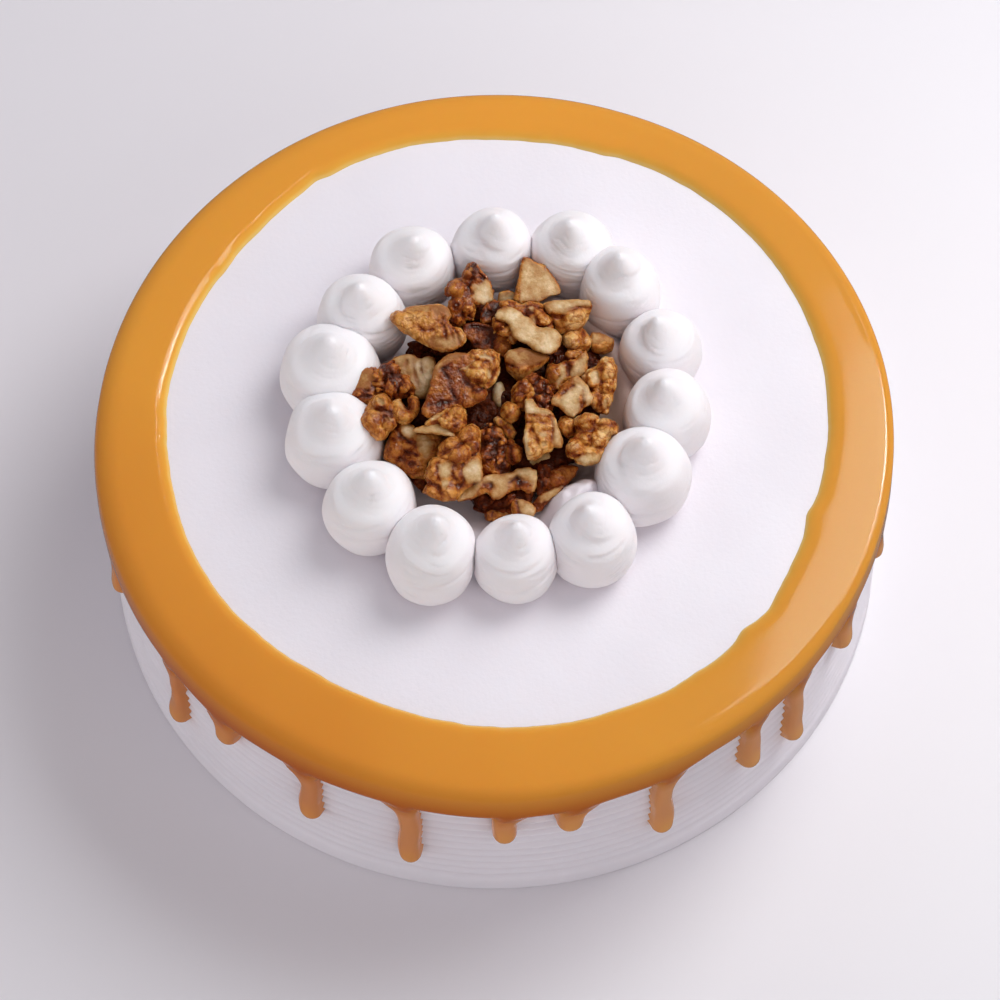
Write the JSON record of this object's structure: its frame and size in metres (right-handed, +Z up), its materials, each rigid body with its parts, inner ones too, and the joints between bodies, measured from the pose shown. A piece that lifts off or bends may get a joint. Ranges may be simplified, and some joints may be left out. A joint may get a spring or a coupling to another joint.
{
  "type": "coffee and walnut cake",
  "caption": "Round uncut coffee and walnut cake: combed cream side, caramel rim with drips, a ring of piped cream kisses and a heap of broken walnuts in the middle.",
  "frame": {"origin": "centre of the cake's flat base, on the surface it rests on", "axes": "+Z up through the cake; -Y is the front, the side nearest to the picture's viewer; +X is the picture's right"},
  "size_m": [0.2079, 0.2085, 0.0921],
  "materials": {
    "cream": "soft whipped cream, combed round the side",
    "caramel": "glossy poured caramel",
    "kiss_cream": "smooth piped cream",
    "walnut": "wrinkled brown skin and pale broken flesh"
  },
  "bodies": {
    "root": {"cake_body": "cream", "caramel_glaze": "caramel", "kiss_01": "kiss_cream", "kiss_02": "kiss_cream", "kiss_03": "kiss_cream", "kiss_04": "kiss_cream", "kiss_05": "kiss_cream", "kiss_06": "kiss_cream", "kiss_07": "kiss_cream", "kiss_08": "kiss_cream", "kiss_09": "kiss_cream", "kiss_10": "kiss_cream", "kiss_11": "kiss_cream", "kiss_12": "kiss_cream", "kiss_13": "kiss_cream", "kiss_14": "kiss_cream", "walnut_heap": "walnut"}
  },
  "joints": []
}
